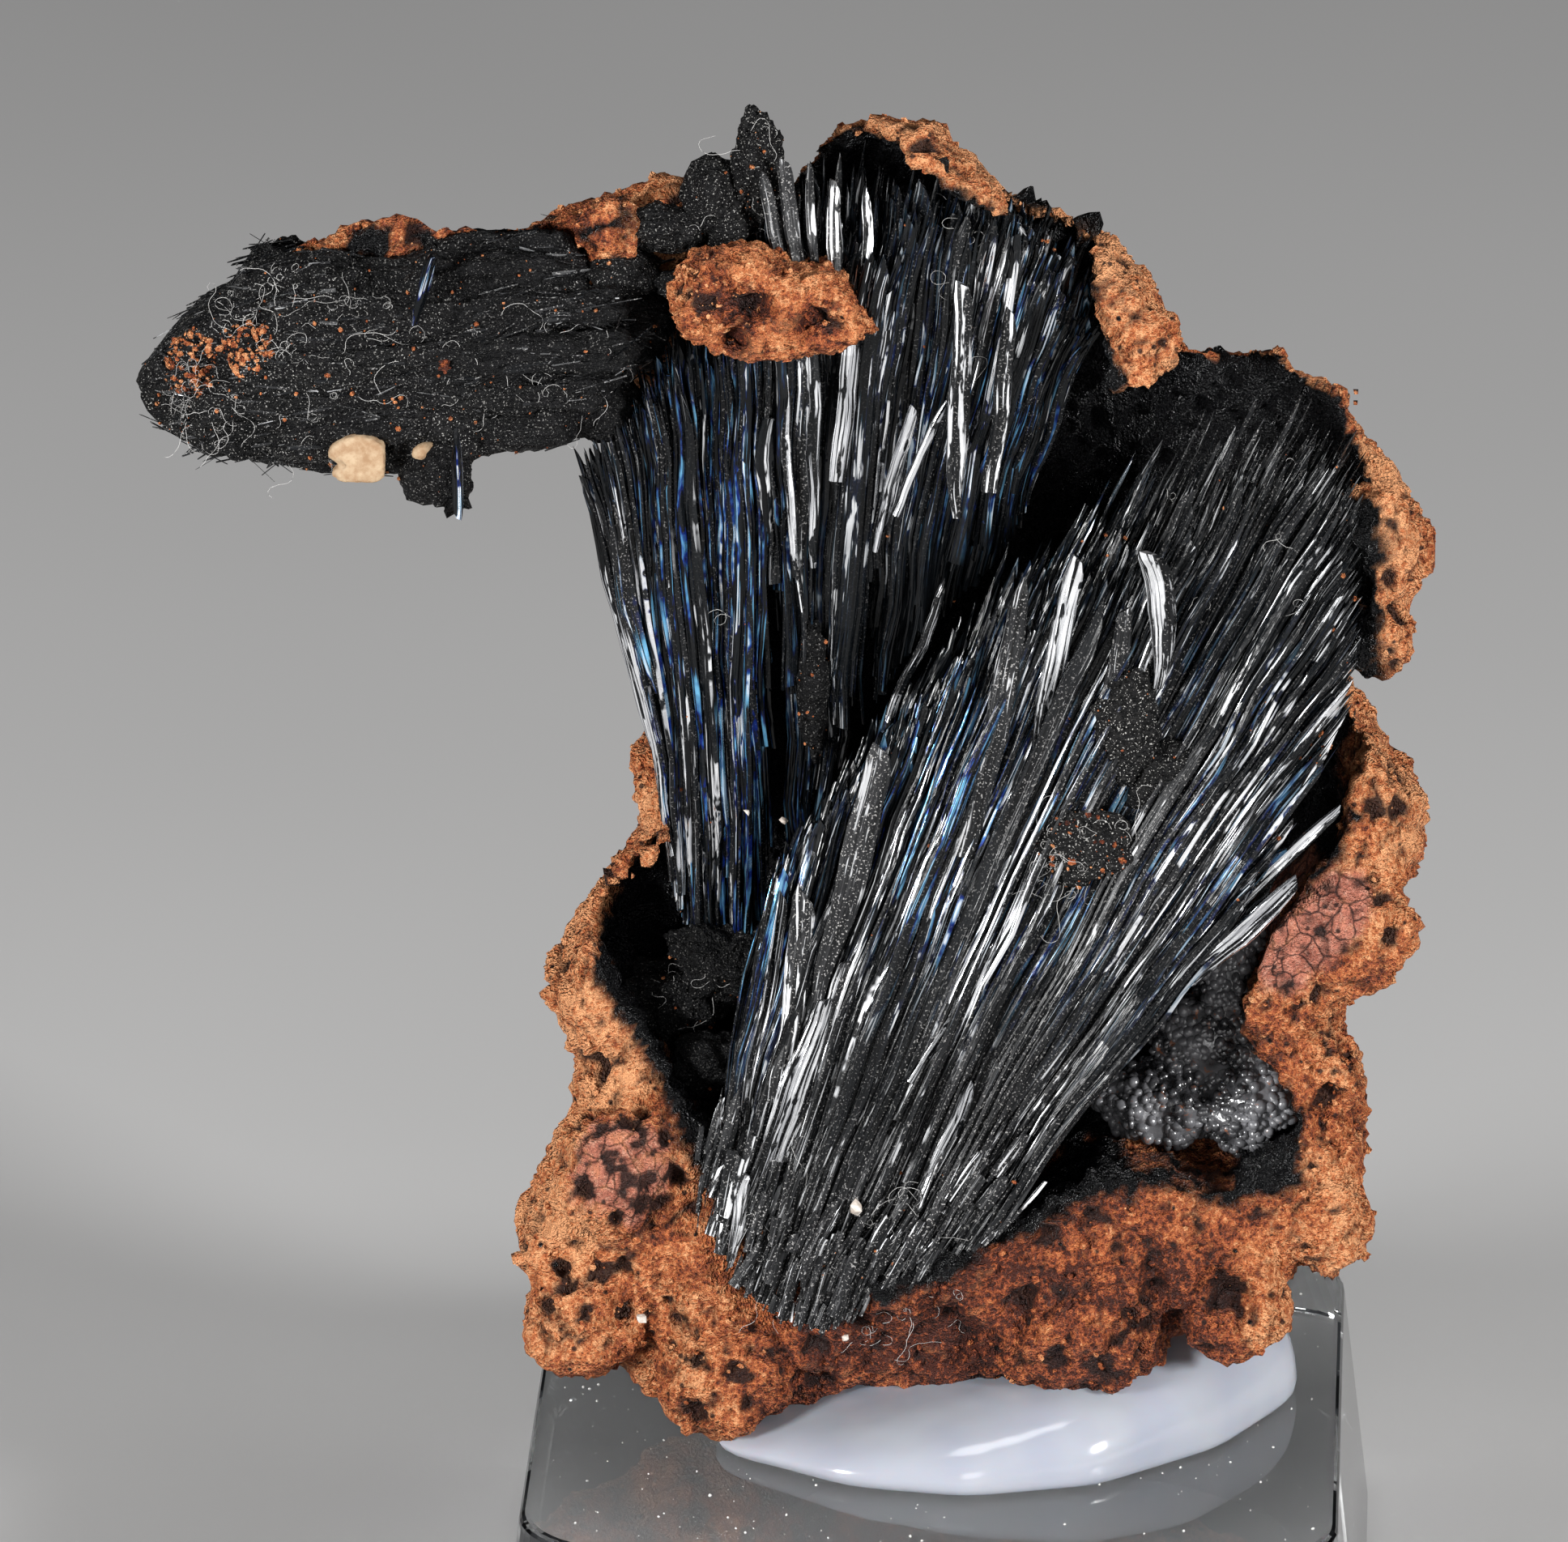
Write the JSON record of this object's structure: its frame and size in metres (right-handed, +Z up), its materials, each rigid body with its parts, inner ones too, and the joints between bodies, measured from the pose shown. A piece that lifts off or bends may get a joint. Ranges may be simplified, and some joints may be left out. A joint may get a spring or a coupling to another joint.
{
  "type": "mineral specimen on display base",
  "caption": "Fans of black-blue lath crystals in a hollow brown ironstone shell, stuck with white putty to a clear rounded square base.",
  "frame": {"origin": "centre of the display base's underside", "axes": "+Z up, +X to the viewer's right, +Y away from the viewer, so the crystals face -Y"},
  "size_m": [0.0506, 0.034, 0.0639],
  "materials": {
    "clear_acrylic": "polished, clear",
    "mounting_putty": "smooth, slightly translucent",
    "ironstone": "earthy, porous",
    "vivianite": "glassy, finely striated",
    "black_crust": "shiny, botryoidal",
    "pale_shell": "chalky"
  },
  "bodies": {
    "root": {"acrylic_base": "clear_acrylic", "mounting_putty": "mounting_putty", "ironstone_matrix": "ironstone", "brow_crust": "ironstone", "vivianite_sprays": "vivianite", "vivianite_wing": "vivianite", "right_pocket_crust": "black_crust", "pale_chip": "pale_shell"}
  },
  "joints": []
}
